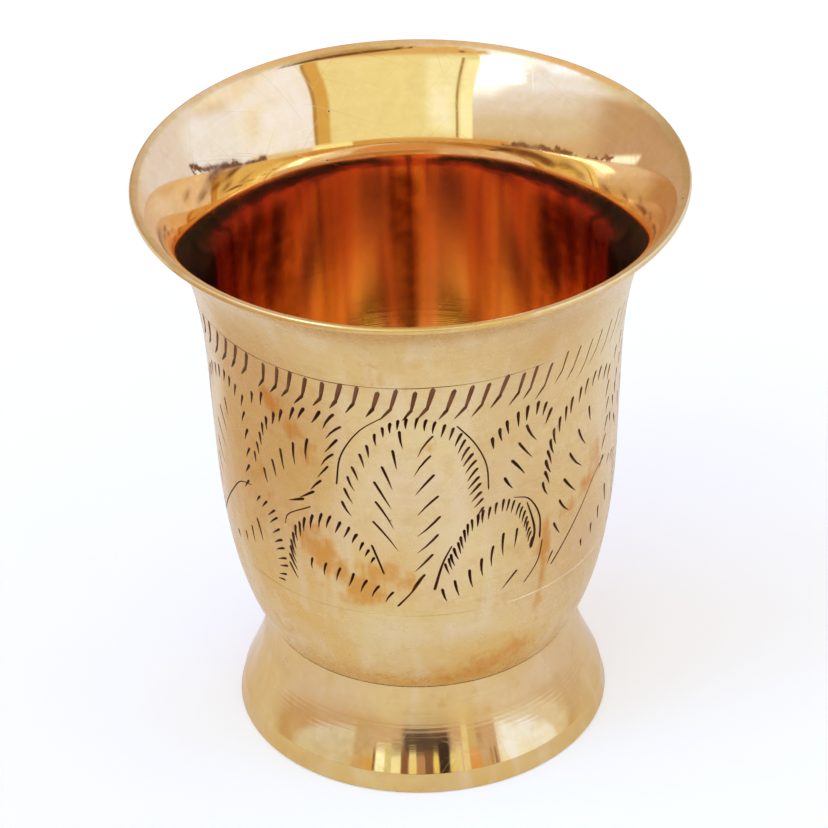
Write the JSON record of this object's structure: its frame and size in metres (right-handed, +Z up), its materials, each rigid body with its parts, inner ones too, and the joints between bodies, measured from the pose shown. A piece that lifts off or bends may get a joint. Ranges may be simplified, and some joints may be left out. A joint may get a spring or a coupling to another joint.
{
  "type": "footed tumbler",
  "caption": "Footed metal tumbler: thin turned bowl with a flared mouth and rounded belly, brazed onto a hollow flared foot.",
  "frame": {"origin": "centre of the ring that the foot stands on, at the height of the table", "axes": "+Z up along the axis of the tumbler, from foot to mouth; the middle of the large engraved leaf faces -Y"},
  "size_m": [0.09, 0.09, 0.1004],
  "materials": {
    "bowl_brass": "polished, hand engraved outside",
    "foot_brass": "polished, with fine turning marks",
    "braze_metal": "dull, as brazed"
  },
  "bodies": {
    "root": {"bowl": "bowl_brass", "foot": "foot_brass", "braze_ring": "braze_metal"}
  },
  "joints": []
}
